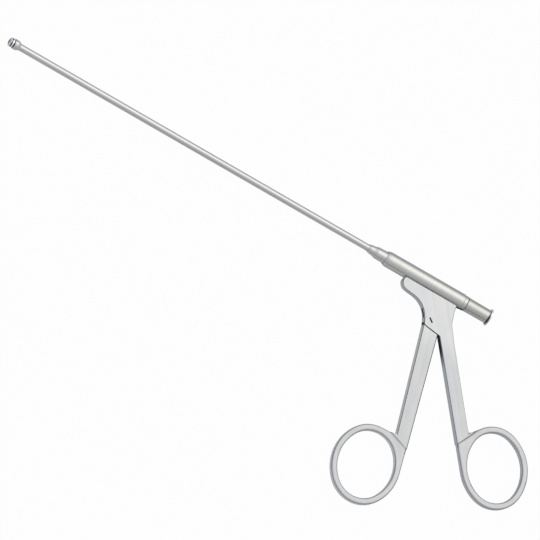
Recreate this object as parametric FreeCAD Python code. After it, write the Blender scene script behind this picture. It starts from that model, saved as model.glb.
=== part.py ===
import FreeCAD, Part
import math
import os

V = FreeCAD.Vector

# Circular cutting punch, in millimetres. X runs along the shaft from the tip to the rear,
# Y from the finger rings to the barrel, and Z out of the flat side of the handle.
# The origin is on the shaft's axis, in the mouth of the cleaning port.

# Clearances
RUNNING_FIT = 0.05
SEAM_GAP = 0.25
JAW_GAP = 0.2

# Shaft lengths, from the port's mouth forward
PORT_LENGTH = 12.2
GASKET_THICKNESS = 0.3
BARREL_LENGTH = 42.0
FERRULE_NECK_LENGTH = 8.8
WORKING_LENGTH = 184.2
BARREL_REAR = -(PORT_LENGTH + GASKET_THICKNESS)
BARREL_FRONT = BARREL_REAR - BARREL_LENGTH
CUP_FRONT = BARREL_FRONT - FERRULE_NECK_LENGTH - WORKING_LENGTH

# Head: dome and cutting ring on the rod's end
HEAD_RADIUS = 2.1
DOME_LENGTH = 1.2
GROOVE_WIDTH = 0.22
GROOVE_DEPTH = 0.35
RING_LENGTH = 1.0
RING_HOLLOW = 0.3
HEAD_CHAMFER = 0.12

# Rod, cup and tube
ROD_RADIUS = 0.55
ROD_IN_DOME = 0.8
CUP_RADIUS = 2.3
CUP_WALL = 0.4
CUP_RIM_LENGTH = 1.75
CUP_CONE_LENGTH = 1.35
CUP_HOLLOW_DEPTH = 1.3
TUBE_RADIUS = 1.55
TUBE_WALL = 0.3
TUBE_LIP = 0.06
GUIDE_LENGTH = 2.6
GUIDE_GROOVE_RADIUS = 0.22
GUIDE_GROOVES = 3

# Barrel
BARREL_RADIUS = 3.6
BARREL_WALL = 0.6
BARREL_BORE_RADIUS = BARREL_RADIUS - BARREL_WALL
BARREL_NOSE_DROP = 0.5
BARREL_NOSE_LENGTH = 2.2
BARREL_LIP_LENGTH = 0.6
BARREL_NECK_DROP = 0.18
BARREL_NECK_LENGTH = 1.6
BARREL_REAR_CHAMFER = 0.08
ANCHOR_STEP = 0.1
ANCHOR_THICKNESS = 1.4
SPIGOT_RADIUS = BARREL_BORE_RADIUS + ANCHOR_STEP
SPIGOT_LENGTH = 2.1
DRAIN_WIDTH = 1.6
DRAIN_LENGTH = 1.7
DRAIN_SETBACK = 0.9
DRAIN_DEPTH = 0.95

# Nose bush and ferrule
NOSE_BUSH_LENGTH = 6.4
NOSE_BUSH_WALL = 0.15
NOSE_BUSH_BORE_RADIUS = BARREL_BORE_RADIUS - NOSE_BUSH_WALL
BARREL_LIP_RADIUS = NOSE_BUSH_BORE_RADIUS + RUNNING_FIT
FERRULE_RADIUS = NOSE_BUSH_BORE_RADIUS - RUNNING_FIT
FERRULE_BODY_LENGTH = 9.5
FERRULE_SPIGOT_RADIUS = 1.9
FERRULE_SPIGOT_LENGTH = 4.5
FERRULE_TIP_WALL = 0.15
TIP_CONE_LENGTH = 1.1
TIP_CONE_RADIUS = 2.03
FRONT_STAGE_LENGTH = 2.85
FRONT_STAGE_RADIUS = 2.22
STAGE_CONE_LENGTH = 1.55
REAR_STAGE_DROP = 0.12
TUBE_SEAT_DEPTH = 8.0
THROAT_RADIUS = 0.8

# Slider
SLIDER_RADIUS = BARREL_BORE_RADIUS - RUNNING_FIT
SLIDER_FLAT_DEPTH = 0.35
SLIDER_REAR_WALL = 1.85
SLIDER_PIN_RADIUS = 0.45
SLIDER_PIN_OFFSET = 1.75
SLIDER_PIN_SETBACK = 2.3
BALL_RADIUS = 0.9
BALL_CLEARANCE = 0.05
GROOVE_TOP = -1.0

# Lever pivot, measured from the barrel's rear end and the shaft's axis
PIVOT_X = -11.25
PIVOT_Y = -15.07
BALL_TOP_Y = -2.0
HALF_TRAVEL = 9.0

# Port and rod fastening
PORT_SHOULDER = 0.18
PORT_FRONT_RADIUS = SPIGOT_RADIUS + PORT_SHOULDER
PORT_WAIST_DROP = 0.08
PORT_REAR_DROP = 0.12
PORT_BORE_RADIUS = 1.9
PORT_TAPER_LENGTH = 5.0
PORT_CHAMFER = 0.08
RIM_RADIUS = 3.9
RIM_THICKNESS = 0.6
RIM_CHAMFER = 0.1
RELIEF_WIDTH = 0.6
RELIEF_DEPTH = 0.3
SOCKET_MOUTH_RADIUS = 2.135
SOCKET_TAPER = 0.03
SOCKET_DEPTH = 7.5
GASKET_WIDTH = 0.12
FLUSH_HOLE_RADIUS = 0.5
FLUSH_HOLE_CIRCLE = 2.05
FLUSH_HOLES = 6
NUT_SIDES = 6
NUT_ACROSS_FLATS = 2.4
NUT_THICKNESS = 1.1
LOCK_NUT_THICKNESS = 0.9
ROD_END_LENGTH = 0.7

# Flat handle
PLATE_THICKNESS = 3.8
RING_THICKNESS = 3.2
SADDLE_DEPTH = 0.2
EDGE_BREAK = 0.25
RING_EDGE_ROUND = 0.85
STEP_RUN = 0.3
FOOT_DEPTH = 1.15
FOOT_LIP = 5.5
FOOT_TOE = 2.0
CROTCH_RADIUS = 1.2
SLOT_WIDTH = 1.6

# Pivot screw
SCREW_HEAD_RADIUS = 1.5
SCREW_SHANK_RADIUS = 1.0
SCREW_SLOT_LENGTH = 2.6
SCREW_SLOT_WIDTH = 0.7
SCREW_SLOT_DEPTH = 0.8
SCREW_SLOT_ANGLE = -38.0
PIVOT_BUSH_RADIUS = 1.5

# Cheeks and shoulder: an arc round the pivot in front, then a straight seam
CHEEK_RADIUS = 3.375
CHEEK_FRONT_ANGLE = 225.0
SEAM_ANGLE = -7.5
SEAM_LENGTH = 7.15

# Finger rings: middle, openings and the tilt of the long axis from straight down
FRONT_RING_MIDDLE = (-9.25, -87.3)
FRONT_RING_LONG = 15.4
FRONT_RING_SHORT = 13.1
FRONT_RING_TILT = 3.5
REAR_RING_MIDDLE = (44.2, -59.5)
REAR_RING_LONG = 15.65
REAR_RING_SHORT = 12.8
REAR_RING_TILT = 32.0
RING_WIDTH = 2.95
OVAL_TIGHTNESS = 0.6

# Handle outlines, measured from the barrel's rear end and the shaft's axis
FRAME_FRONT = [(-30.3, -6.15), (-28.75, -7.85), (-26.7, -8.45), (-23.25, -8.8), (-19.8, -9.8)]
FRAME_FRONT_TOP_X = -30.15
FRAME_REAR = [(-3.2, -6.25), (-2.55, -8.7), (-1.85, -11.4), (0.2, -14.85)]
FRAME_REAR_TOP_X = -3.6
FRAME_REAR_END = (3.45, -19.7)
FRAME_REAR_TOP_WAY = (-0.3, 1)
REAR_SHANK_CROTCH = (26.6, -51.85)
REAR_SHANK_STEP = (23.4, -57.7)
LEVER_FRONT_TOP = (-13.15, -19.1)
LEVER_REAR_TOP = (-5.2, -21.3)
LEVER_CROTCH = (-2.5, -68.7)
LEVER_STEP = (4.15, -71.2)

# End of the frame's front curve and slot for the tongue, measured from the pivot
FRAME_FRONT_END = [(-5.95, 3.55), (-3.75, 0.85)]
ARM_SLOT_HALF = 3.75
SLOT_FRONT_KNEE = 7.0
SLOT_MOUTH = (-5.8, 2.97)
SLOT_REAR_KNEE = 2.0
SLOT_HEEL = (5.85, -5.43)

# Tongue of the lever
BOSS_MARGIN = 0.45
ROOT_DEPTH = 2.0
ROOT_FRONT_HALF = 2.0
ROOT_REAR_HALF = 3.4
ARM_FOOT_HALF = 1.8
ARM_TIP_HALF = 0.6

# Slack for comparing lengths
TOLERANCE = 1e-6

# Values worked out from the ones above
HALF_PLATE = PLATE_THICKNESS / 2
PIVOT = (BARREL_REAR + PIVOT_X, PIVOT_Y)
ARM_LENGTH = BALL_TOP_Y - PIVOT_Y
BALL = (PIVOT[0] - ARM_LENGTH * math.sin(math.radians(HALF_TRAVEL)),
        PIVOT[1] + ARM_LENGTH * math.cos(math.radians(HALF_TRAVEL)))
SADDLE_Y = -(BARREL_RADIUS - SADDLE_DEPTH)
TONGUE_THICKNESS = SLOT_WIDTH - 2 * RUNNING_FIT
BARREL_NOSE_RADIUS = BARREL_RADIUS - BARREL_NOSE_DROP
RING_REAR = CUP_FRONT - JAW_GAP
RING_FRONT = RING_REAR - RING_LENGTH
DOME_REAR = RING_FRONT - GROOVE_WIDTH
DOME_APEX = DOME_REAR - DOME_LENGTH
ROD_FRONT = DOME_REAR - ROD_IN_DOME
ANCHOR_REAR = BARREL_REAR - SPIGOT_LENGTH
ANCHOR_FRONT = ANCHOR_REAR - ANCHOR_THICKNESS
SLIDER_FRONT = BARREL_FRONT + FERRULE_BODY_LENGTH
GROOVE_HALF_WIDTH = BALL_RADIUS + BALL_CLEARANCE
SLIDER_REAR = BALL[0] + GROOVE_HALF_WIDTH + SLIDER_REAR_WALL
TUBE_REAR = BARREL_FRONT + TUBE_SEAT_DEPTH
TUBE_FRONT = CUP_FRONT + CUP_RIM_LENGTH
ROD_REAR = ANCHOR_REAR + NUT_THICKNESS + LOCK_NUT_THICKNESS + ROD_END_LENGTH


def from_rear(point):
    """A point given from the barrel's rear end, in the part's own frame."""
    return (BARREL_REAR + point[0], point[1])


def revolved(profile):
    """Solid of revolution round the shaft's axis from (x, radius) corners.

    A point with a third value is the middle of an arc between its neighbours.
    """
    edges = []
    count = len(profile)
    for k, (start, end) in enumerate(zip(profile, profile[1:] + profile[:1])):
        if len(end) == 3:
            edges.append(arc(start, end[:2], profile[(k + 2) % count]))
        elif len(start) == 2:
            edges.append(line(start, end))
    return Part.Face(Part.Wire(edges)).revolve(V(0, 0, 0), V(1, 0, 0), 360)


def rod_between(start, end, radius):
    """Round bar on the shaft's axis."""
    return Part.makeCylinder(radius, end - start, V(start, 0, 0), V(1, 0, 0))


def cross_rod(centre, radius, low, high):
    """Round bar along Z."""
    return Part.makeCylinder(radius, high - low, V(centre[0], centre[1], low), V(0, 0, 1))


def block(x_range, y_range, z_range):
    """Box from its lowest to its highest corner."""
    low = V(x_range[0], y_range[0], z_range[0])
    sides = [pair[1] - pair[0] for pair in (x_range, y_range, z_range)]
    return Part.makeBox(*sides, low)


def line(start, end):
    return Part.makeLine(V(*start, 0), V(*end, 0))


def arc(start, middle, end):
    return Part.Arc(V(*start, 0), V(*middle, 0), V(*end, 0)).toShape()


def curve(points, start_way=None, end_way=None):
    """Smooth edge through a few points, with its end directions where they are given."""
    ends = {}
    if start_way:
        ends = {"InitialTangent": V(*start_way, 0), "FinalTangent": V(*end_way, 0)}
    spline = Part.BSplineCurve()
    spline.interpolate(Points=[V(x, y, 0) for x, y in points], **ends)
    return spline.toShape()


def flat(edges, thickness):
    """Plate of one outline, lying evenly on both sides of the middle plane."""
    face = Part.Face(Part.Wire(Part.__sortEdges__(edges)))
    face.translate(V(0, 0, -thickness / 2))
    return face.extrude(V(0, 0, thickness))


def polygon(points):
    return [line(a, b) for a, b in zip(points, points[1:] + points[:1])]


def polar(centre, radius, degrees):
    angle = math.radians(degrees)
    return (centre[0] + radius * math.cos(angle), centre[1] + radius * math.sin(angle))


def along(start, end, distance):
    """Point at a distance from start on the way to end."""
    span = math.hypot(end[0] - start[0], end[1] - start[1])
    share = distance / span
    return (start[0] + (end[0] - start[0]) * share, start[1] + (end[1] - start[1]) * share)


def outline_edges(plate, thickness, wanted):
    """Those edges of both faces that wanted picks out by their middle."""
    edges = []
    for edge in plate.Edges:
        box = edge.BoundBox
        on_face = abs(abs(box.Center.z) - thickness / 2) < TOLERANCE and box.ZLength < TOLERANCE
        if on_face and wanted(box.Center):
            edges.append(edge)
    return edges


def long_side(crotch):
    """Test for a handle plate's long edges, away from saddle, seam and foot."""
    def wanted(centre):
        off_seam = math.hypot(centre.x - PIVOT[0], centre.y - PIVOT[1]) > 2 * CHEEK_RADIUS
        return off_seam and crotch[1] < centre.y < SADDLE_Y - EDGE_BREAK
    return wanted


def oval(middle, long_half, short_half, tilt):
    """Oval of four tangent arcs, each as its centre, radius, and first and last way outwards.

    The long axis is tilted from straight down. The arcs at its ends are a little tighter than
    the short half, and the arcs at the sides are wide enough to run into them.
    """
    end_radius = short_half - OVAL_TIGHTNESS * (long_half - short_half)
    reach = long_half - end_radius
    side_radius = (short_half ** 2 + reach ** 2 - end_radius ** 2) / (2 * (short_half - end_radius))
    drop = side_radius - short_half
    turn = math.degrees(math.atan2(drop, reach))
    arcs = []
    for way in (tilt - 90, tilt + 90):
        arcs.append((polar(middle, reach, way), end_radius, way - turn, way + turn))
        arcs.append((polar(middle, drop, way - 90), side_radius, way + turn, way + 180 - turn))
    return arcs


def oval_edges(arcs, start, end):
    """Edges of an oval from one way outwards round to another, both in degrees."""
    edges = []
    for turn in (0, 360):
        for centre, radius, first, last in arcs:
            low, high = max(first + turn, start), min(last + turn, end)
            if high - low > TOLERANCE:
                ends = [polar(centre, radius, way) for way in (low, (low + high) / 2, high)]
                edges.append(arc(*ends))
    return edges


def touch_way(point, arcs, side):
    """Way outwards where a straight line from an outside point touches the oval, on one side."""
    for centre, radius, first, last in arcs:
        dx, dy = point[0] - centre[0], point[1] - centre[1]
        near = min(1, radius / math.hypot(dx, dy))
        way = math.degrees(math.atan2(dy, dx) + side * math.acos(near))
        if near < 1 and (way - first) % 360 <= last - first:
            return way, polar(centre, radius, way)


def finger_ring(middle, long_half, short_half, tilt, crotch, step, side):
    """Oval finger ring with the flat web that runs tangent from it to the shank's end."""
    outer = oval(middle, long_half + RING_WIDTH, short_half + RING_WIDTH, tilt)
    opening = oval(middle, long_half, short_half, tilt)
    step_way, step_touch = touch_way(step, outer, side)
    crotch_way, crotch_touch = touch_way(crotch, outer, -side)
    ways = (step_way, crotch_way) if side > 0 else (crotch_way, step_way)
    low = outer[0][2]
    start = low + (ways[0] - low) % 360
    end = start + (ways[1] - start) % 360
    edges = oval_edges(outer, start, end) + [line(step_touch, step), line(step, crotch),
                                             line(crotch, crotch_touch)]
    hole = flat(oval_edges(opening, opening[0][2], opening[0][2] + 360), RING_THICKNESS)
    body = flat(edges, RING_THICKNESS).cut(hole)
    foot = ((crotch[0] + step[0]) / 2, (crotch[1] + step[1]) / 2)

    def off_foot(centre):
        return math.hypot(centre.x - foot[0], centre.y - foot[1]) > RING_EDGE_ROUND
    rounded = outline_edges(body, RING_THICKNESS, off_foot)
    return body.makeFillet(RING_EDGE_ROUND, rounded), crotch_touch, step_touch


def stepped_foot(shank, crotch, step):
    """Ends a shank's plate over the ring's web, with a steep step down on both sides."""
    run = V(step[0] - crotch[0], step[1] - crotch[1], 0)
    down = V(run.y, -run.x, 0).normalize()
    if down.y > 0:
        down = down * -1
    start = V(*crotch, 0) - run
    top, foot, end = (start + down * depth for depth in (FOOT_DEPTH - STEP_RUN, FOOT_DEPTH, FOOT_LIP))
    low, high, clear = RING_THICKNESS / 2, HALF_PLATE, PLATE_THICKNESS
    for way in (1, -1):
        corners = [top + V(0, 0, way * high), foot + V(0, 0, way * low), foot, end,
                   end + V(0, 0, way * clear), top + V(0, 0, way * clear)]
        face = Part.Face(Part.makePolygon(corners + corners[:1]))
        shank = shank.cut(face.extrude(run * 3))
    return shank


def crotch_web(crotch, shank_top, ring_side):
    """Small rounded web in the corner between the shank's edge and the ring."""
    way_up = along(crotch, shank_top, 1)
    way_out = along(crotch, ring_side, 1)
    up = (way_up[0] - crotch[0], way_up[1] - crotch[1])
    out = (way_out[0] - crotch[0], way_out[1] - crotch[1])
    half = math.acos(up[0] * out[0] + up[1] * out[1]) / 2
    leg = CROTCH_RADIUS / math.tan(half)
    start, end = along(crotch, shank_top, leg), along(crotch, ring_side, leg)
    centre_way = along(crotch, ((start[0] + end[0]) / 2, (start[1] + end[1]) / 2),
                       CROTCH_RADIUS / math.sin(half) - CROTCH_RADIUS)
    corner = [line(crotch, start), arc(start, centre_way, end), line(end, crotch)]
    return flat(corner, PLATE_THICKNESS - 2 * EDGE_BREAK)


def nose_dome():
    """Domed nut on the rod's end, with the neck that makes the fine groove."""
    cap = DOME_LENGTH - HEAD_CHAMFER
    sphere = (cap ** 2 + HEAD_RADIUS ** 2) / (2 * cap)
    half_turn = math.asin(HEAD_RADIUS / sphere) / 2
    middle = (DOME_APEX + sphere * (1 - math.cos(half_turn)), sphere * math.sin(half_turn), "arc")
    neck = HEAD_RADIUS - GROOVE_DEPTH
    dome = revolved([(DOME_APEX, 0), middle, (DOME_REAR - HEAD_CHAMFER, HEAD_RADIUS),
                     (DOME_REAR, HEAD_RADIUS - HEAD_CHAMFER), (DOME_REAR, neck), (RING_FRONT, neck),
                     (RING_FRONT, 0)])
    return dome.cut(rod_between(ROD_FRONT, RING_FRONT, ROD_RADIUS))


def cutting_ring():
    """Punch ring behind the dome, hollow ground at its rear so that its rim cuts."""
    rim = HEAD_RADIUS - HEAD_CHAMFER
    return revolved([(RING_FRONT, ROD_RADIUS), (RING_FRONT, rim), (RING_FRONT + HEAD_CHAMFER, HEAD_RADIUS),
                     (RING_REAR, HEAD_RADIUS), (RING_REAR, rim),
                     (RING_REAR - RING_HOLLOW, ROD_RADIUS + RING_HOLLOW),
                     (RING_REAR - RING_HOLLOW, ROD_RADIUS)])


def control_rod():
    """Thin rod from the head to the nuts behind the anchor disc."""
    return rod_between(ROD_FRONT, ROD_REAR, ROD_RADIUS)


def cutting_cup():
    """Flared cup with a sharp mouth, soldered over the front of the tube."""
    hollow_end = CUP_FRONT + CUP_HOLLOW_DEPTH
    cone_end = CUP_FRONT + CUP_RIM_LENGTH + CUP_CONE_LENGTH
    mouth = CUP_RADIUS - HEAD_CHAMFER
    bore = TUBE_RADIUS - TUBE_WALL
    return revolved([(CUP_FRONT, mouth), (CUP_FRONT + HEAD_CHAMFER, CUP_RADIUS),
                     (CUP_FRONT + CUP_RIM_LENGTH, CUP_RADIUS), (cone_end, TUBE_RADIUS + TUBE_LIP),
                     (cone_end, TUBE_RADIUS), (TUBE_FRONT, TUBE_RADIUS), (TUBE_FRONT, bore),
                     (hollow_end, bore), (hollow_end, CUP_RADIUS - CUP_WALL)])


def sheath_tube():
    """Outer tube that carries the cup."""
    return revolved([(TUBE_FRONT, TUBE_RADIUS - TUBE_WALL), (TUBE_FRONT, TUBE_RADIUS),
                     (TUBE_REAR, TUBE_RADIUS), (TUBE_REAR, TUBE_RADIUS - TUBE_WALL)])


def rod_guide_bush():
    """Bush in the tube's front that centres the rod, grooved so that rinsing water passes."""
    outer = TUBE_RADIUS - TUBE_WALL
    bush = rod_between(TUBE_FRONT, TUBE_FRONT + GUIDE_LENGTH, outer)
    bush = bush.cut(rod_between(TUBE_FRONT, TUBE_FRONT + GUIDE_LENGTH, ROD_RADIUS + RUNNING_FIT))
    for turn in range(GUIDE_GROOVES):
        y, z = polar((0, 0), outer, 90 + turn * 360 / GUIDE_GROOVES)
        start = V(TUBE_FRONT, y, z)
        bush = bush.cut(Part.makeCylinder(GUIDE_GROOVE_RADIUS, GUIDE_LENGTH, start, V(1, 0, 0)))
    return bush


def nose_ferrule():
    """Turned ferrule in two stages that joins the tube to the slider."""
    tip = BARREL_FRONT - FERRULE_NECK_LENGTH
    stage_end = tip + FRONT_STAGE_LENGTH
    spigot_end = SLIDER_FRONT + FERRULE_SPIGOT_LENGTH
    outside = [(tip, TUBE_RADIUS + FERRULE_TIP_WALL), (tip + TIP_CONE_LENGTH, TIP_CONE_RADIUS),
               (stage_end, FRONT_STAGE_RADIUS),
               (stage_end + STAGE_CONE_LENGTH, FERRULE_RADIUS - REAR_STAGE_DROP),
               (BARREL_FRONT, FERRULE_RADIUS), (SLIDER_FRONT, FERRULE_RADIUS),
               (SLIDER_FRONT, FERRULE_SPIGOT_RADIUS), (spigot_end, FERRULE_SPIGOT_RADIUS)]
    inside = [(spigot_end, THROAT_RADIUS), (TUBE_REAR, THROAT_RADIUS), (TUBE_REAR, TUBE_RADIUS),
              (tip, TUBE_RADIUS)]
    return revolved(outside + inside).cut(slider_pin())


def slider_pin():
    """Cross pin that locks the ferrule's spigot in the slider, beside the rod."""
    centre = (SLIDER_FRONT + SLIDER_PIN_SETBACK, SLIDER_PIN_OFFSET)
    half = math.sqrt(SLIDER_RADIUS ** 2 - (SLIDER_PIN_OFFSET + SLIDER_PIN_RADIUS) ** 2)
    return cross_rod(centre, SLIDER_PIN_RADIUS, -half, half)


def slider():
    """Round slider in the barrel with the cross groove for the lever's ball."""
    body = rod_between(SLIDER_FRONT, SLIDER_REAR, SLIDER_RADIUS)
    body = body.cut(rod_between(SLIDER_FRONT, SLIDER_FRONT + FERRULE_SPIGOT_LENGTH, FERRULE_SPIGOT_RADIUS))
    body = body.cut(rod_between(SLIDER_FRONT, SLIDER_REAR, THROAT_RADIUS))
    span = (SLIDER_FRONT, SLIDER_REAR)
    flat_height = SLIDER_RADIUS - SLIDER_FLAT_DEPTH
    for side in (1, -1):
        low, high = sorted((side * flat_height, side * SLIDER_RADIUS))
        body = body.cut(block(span, (-SLIDER_RADIUS, SLIDER_RADIUS), (low, high)))
    groove = (BALL[0] - GROOVE_HALF_WIDTH, BALL[0] + GROOVE_HALF_WIDTH)
    body = body.cut(block(groove, (-SLIDER_RADIUS, GROOVE_TOP), (-SLIDER_RADIUS, SLIDER_RADIUS)))
    return body.cut(slider_pin())


def barrel():
    """Round barrel with its rounded nose, its rear neck, the lever's slot and the drain window."""
    lip_end = BARREL_FRONT + BARREL_LIP_LENGTH
    nose_end = BARREL_FRONT + BARREL_NOSE_LENGTH
    rise = BARREL_RADIUS - BARREL_NOSE_RADIUS
    sweep = (BARREL_NOSE_LENGTH ** 2 + rise ** 2) / (2 * rise)
    half_turn = math.asin(BARREL_NOSE_LENGTH / sweep) / 2
    drop = sweep * (1 - math.cos(half_turn))
    middle = (nose_end - sweep * math.sin(half_turn), BARREL_RADIUS - drop, "arc")
    neck_front = BARREL_REAR - BARREL_NECK_LENGTH
    neck = BARREL_RADIUS - BARREL_NECK_DROP
    body = revolved([(BARREL_FRONT, BARREL_LIP_RADIUS), (BARREL_FRONT, BARREL_NOSE_RADIUS), middle,
                     (nose_end, BARREL_RADIUS), (neck_front - BARREL_NECK_DROP, BARREL_RADIUS),
                     (neck_front, neck), (BARREL_REAR - BARREL_REAR_CHAMFER, neck),
                     (BARREL_REAR, neck - BARREL_REAR_CHAMFER), (BARREL_REAR, SPIGOT_RADIUS),
                     (ANCHOR_FRONT, SPIGOT_RADIUS), (ANCHOR_FRONT, BARREL_BORE_RADIUS),
                     (lip_end, BARREL_BORE_RADIUS), (lip_end, BARREL_LIP_RADIUS)])
    slot_span = (PIVOT[0] - ARM_SLOT_HALF, PIVOT[0] + ARM_SLOT_HALF)
    body = body.cut(block(slot_span, (-BARREL_RADIUS, 0), (-SLOT_WIDTH / 2, SLOT_WIDTH / 2)))
    return body.cut(drain_window())


def drain_window():
    """Small window under the barrel's rear end, with its recess in the port's spigot."""
    half = DRAIN_WIDTH / 2
    rear = BARREL_REAR - DRAIN_SETBACK
    return block((rear - DRAIN_LENGTH, rear), (-BARREL_RADIUS, -BARREL_RADIUS + DRAIN_DEPTH), (-half, half))


def nose_bush():
    """Bearing sleeve behind the barrel's lip, in which the ferrule runs."""
    start = BARREL_FRONT + BARREL_LIP_LENGTH
    return revolved([(start, NOSE_BUSH_BORE_RADIUS), (start, BARREL_BORE_RADIUS),
                     (start + NOSE_BUSH_LENGTH, BARREL_BORE_RADIUS),
                     (start + NOSE_BUSH_LENGTH, NOSE_BUSH_BORE_RADIUS)])


def luer_port():
    """Cleaning port: spigot, tapering sleeve, relief groove, thin rim and tapered socket."""
    front = -PORT_LENGTH
    rim_front = -RIM_THICKNESS
    relief_front = rim_front - RELIEF_WIDTH
    waist = PORT_FRONT_RADIUS - PORT_WAIST_DROP
    rear = PORT_FRONT_RADIUS - PORT_REAR_DROP
    socket_end = SOCKET_MOUTH_RADIUS - SOCKET_TAPER * SOCKET_DEPTH
    body = revolved([(ANCHOR_REAR, PORT_BORE_RADIUS), (ANCHOR_REAR, SPIGOT_RADIUS), (front, SPIGOT_RADIUS),
                     (front, PORT_FRONT_RADIUS - PORT_CHAMFER), (front + PORT_CHAMFER, PORT_FRONT_RADIUS),
                     (front + PORT_TAPER_LENGTH, waist), (relief_front, rear),
                     (relief_front, rear - RELIEF_DEPTH), (rim_front, rear - RELIEF_DEPTH),
                     (rim_front, RIM_RADIUS - RIM_CHAMFER), (rim_front + RIM_CHAMFER, RIM_RADIUS),
                     (0, RIM_RADIUS), (0, SOCKET_MOUTH_RADIUS), (-SOCKET_DEPTH, socket_end),
                     (-SOCKET_DEPTH, PORT_BORE_RADIUS)])
    return body.cut(drain_window())


def port_gasket():
    """Flat sealing ring between the barrel's rear face and the port's shoulder."""
    outer = SPIGOT_RADIUS + GASKET_WIDTH
    return revolved([(BARREL_REAR, SPIGOT_RADIUS), (BARREL_REAR, outer),
                     (-PORT_LENGTH, outer), (-PORT_LENGTH, SPIGOT_RADIUS)])


def rod_anchor():
    """Disc clamped behind the barrel's inner step, drilled for the rod and for rinsing water."""
    disc = rod_between(ANCHOR_FRONT, ANCHOR_REAR, SPIGOT_RADIUS)
    disc = disc.cut(rod_between(ANCHOR_FRONT, ANCHOR_REAR, ROD_RADIUS))
    for turn in range(FLUSH_HOLES):
        y, z = polar((0, 0), FLUSH_HOLE_CIRCLE, turn * 360 / FLUSH_HOLES)
        start = V(ANCHOR_FRONT, y, z)
        disc = disc.cut(Part.makeCylinder(FLUSH_HOLE_RADIUS, ANCHOR_THICKNESS, start, V(1, 0, 0)))
    return disc


def hex_nut(start, thickness):
    """Six-sided nut on the rod."""
    corner = NUT_ACROSS_FLATS / 2 / math.cos(math.pi / NUT_SIDES)
    corners = [V(start, *polar((0, 0), corner, 360 / NUT_SIDES * k)) for k in range(NUT_SIDES)]
    nut = Part.Face(Part.makePolygon(corners + corners[:1])).extrude(V(thickness, 0, 0))
    return nut.cut(rod_between(start, start + thickness, ROD_RADIUS))


def rod_nut():
    return hex_nut(ANCHOR_REAR, NUT_THICKNESS)


def rod_lock_nut():
    return hex_nut(ANCHOR_REAR + NUT_THICKNESS, LOCK_NUT_THICKNESS)


def pivot_screw():
    """Slotted screw, its head and its end both flush with the cheeks."""
    head = cross_rod(PIVOT, SCREW_HEAD_RADIUS, SLOT_WIDTH / 2, HALF_PLATE)
    shank = cross_rod(PIVOT, SCREW_SHANK_RADIUS, -HALF_PLATE, SLOT_WIDTH / 2)
    half_length, half_width = SCREW_SLOT_LENGTH / 2, SCREW_SLOT_WIDTH / 2
    depths = (HALF_PLATE - SCREW_SLOT_DEPTH, HALF_PLATE)
    slot = block((-half_length, half_length), (-half_width, half_width), depths)
    slot.rotate(V(0, 0, 0), V(0, 0, 1), SCREW_SLOT_ANGLE)
    slot.translate(V(*PIVOT, 0))
    return head.fuse(shank).removeSplitter().cut(slot)


def pivot_bush():
    """Sleeve on the screw, clamped between the cheeks, on which the lever turns."""
    half = SLOT_WIDTH / 2
    sleeve = cross_rod(PIVOT, PIVOT_BUSH_RADIUS, -half, half)
    return sleeve.cut(cross_rod(PIVOT, SCREW_SHANK_RADIUS, -half, half))


def seam_point(distance, gap):
    """Point on the straight seam, at a distance behind the foot of the pivot's perpendicular."""
    foot = polar(PIVOT, CHEEK_RADIUS + gap, SEAM_ANGLE - 90)
    return polar(foot, distance, SEAM_ANGLE)


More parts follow.
